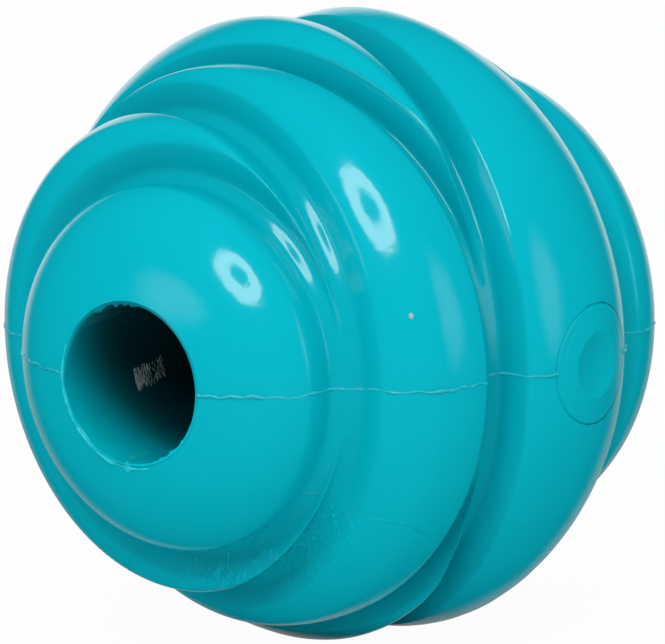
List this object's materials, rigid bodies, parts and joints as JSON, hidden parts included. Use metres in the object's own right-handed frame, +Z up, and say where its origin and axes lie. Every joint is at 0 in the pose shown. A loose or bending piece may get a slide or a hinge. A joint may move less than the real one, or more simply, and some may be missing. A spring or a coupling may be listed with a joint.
{
  "type": "floating dog ball",
  "caption": "Ball-shaped floating dog toy with a round bore right through it, rounded bands between deep grooves, a moulding seam and a dished vent plug.",
  "frame": {"origin": "centre of the ball, on the bore axis and in the seam plane", "axes": "+Y along the bore towards the rear mouth, so the mouth seen in the picture faces -Y; +X towards the vent plug; +Z up, square to the seam plane"},
  "size_m": [0.0685, 0.0688, 0.0666],
  "materials": {
    "gloss_rubber": "glossy turquoise moulded elastomer",
    "bore_rubber": "glossy turquoise moulded elastomer, a little darker",
    "bond_rubber": "thin satin turquoise film",
    "pale_foam": "matte closed-cell foam"
  },
  "bodies": {
    "root": {"upper_shell": "gloss_rubber", "lower_shell": "gloss_rubber", "seam_bond_left": "bond_rubber", "seam_bond_right_front": "bond_rubber", "seam_bond_right_rear": "bond_rubber", "bore_sleeve": "bore_rubber", "vent_plug": "gloss_rubber", "float_core_upper": "pale_foam", "float_core_lower": "pale_foam"}
  },
  "joints": []
}
